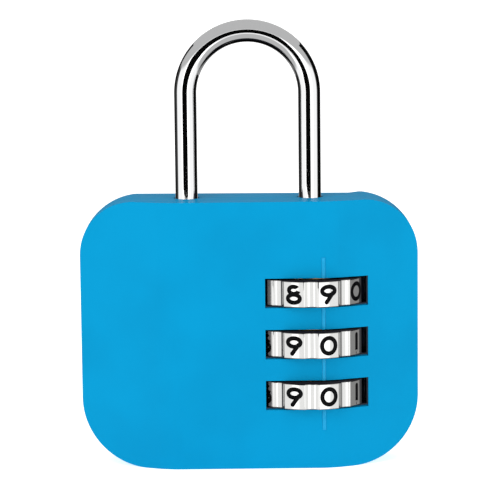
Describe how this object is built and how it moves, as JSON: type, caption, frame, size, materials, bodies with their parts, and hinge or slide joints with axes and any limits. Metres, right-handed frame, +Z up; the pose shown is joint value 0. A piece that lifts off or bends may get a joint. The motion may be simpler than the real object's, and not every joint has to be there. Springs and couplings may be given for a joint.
{
  "type": "combination padlock",
  "caption": "Small combination padlock with a moulded body, numbered dials that turn on the long leg of the shackle, and a shackle that lifts",
  "frame": {"origin": "centre of the flat base of the body", "axes": "+Z up, along the legs of the shackle; -Y out of the front, where the dials are read; +X to the right of someone who reads the dials"},
  "size_m": [0.048, 0.0158, 0.0632],
  "materials": {
    "cover": "satin sky blue moulded plastic",
    "case": "grey die-cast zinc, as cast",
    "rivet": "plated steel",
    "shackle": "polished chrome plate",
    "dial": "polished chrome plate with black engraved numbers",
    "brass": "turned brass",
    "spring": "spring steel"
  },
  "bodies": {
    "lock_body": {"front_cover": "cover", "rear_cover": "cover", "case_front": "case", "case_rear": "case", "case_rivets": "rivet", "shackle_spring": "spring", "spring_seat": "brass", "hub_washer_1": "spring", "hub_washer_2": "spring", "hub_washer_3": "spring", "hub_spring_1": "spring", "hub_spring_2": "spring", "hub_spring_3": "spring", "detent_spring": "spring", "detent_rivets": "rivet"},
    "shackle": {"shackle": "shackle"},
    "dial_1": {"dial_1": "dial", "hub_1": "brass"},
    "dial_2": {"dial_2": "dial", "hub_2": "brass"},
    "dial_3": {"dial_3": "dial", "hub_3": "brass"}
  },
  "joints": [
    {"name": "shackle_lift", "type": "slide", "parent": "lock_body", "child": "shackle", "axis": [0, 0, 1], "range_m": [0, 0.0065], "deforming": ["shackle_spring"]},
    {"name": "dial_1_spin", "type": "hinge", "parent": "lock_body", "child": "dial_1", "pos_m": [0.00875, 0, 0.01052], "axis": [0, 0, 1], "continuous": true, "deforming": ["detent_spring"]},
    {"name": "dial_2_spin", "type": "hinge", "parent": "lock_body", "child": "dial_2", "pos_m": [0.00875, 0, 0.0178], "axis": [0, 0, 1], "continuous": true, "deforming": ["detent_spring"]},
    {"name": "dial_3_spin", "type": "hinge", "parent": "lock_body", "child": "dial_3", "pos_m": [0.00875, 0, 0.02508], "axis": [0, 0, 1], "continuous": true, "deforming": ["detent_spring"]}
  ]
}
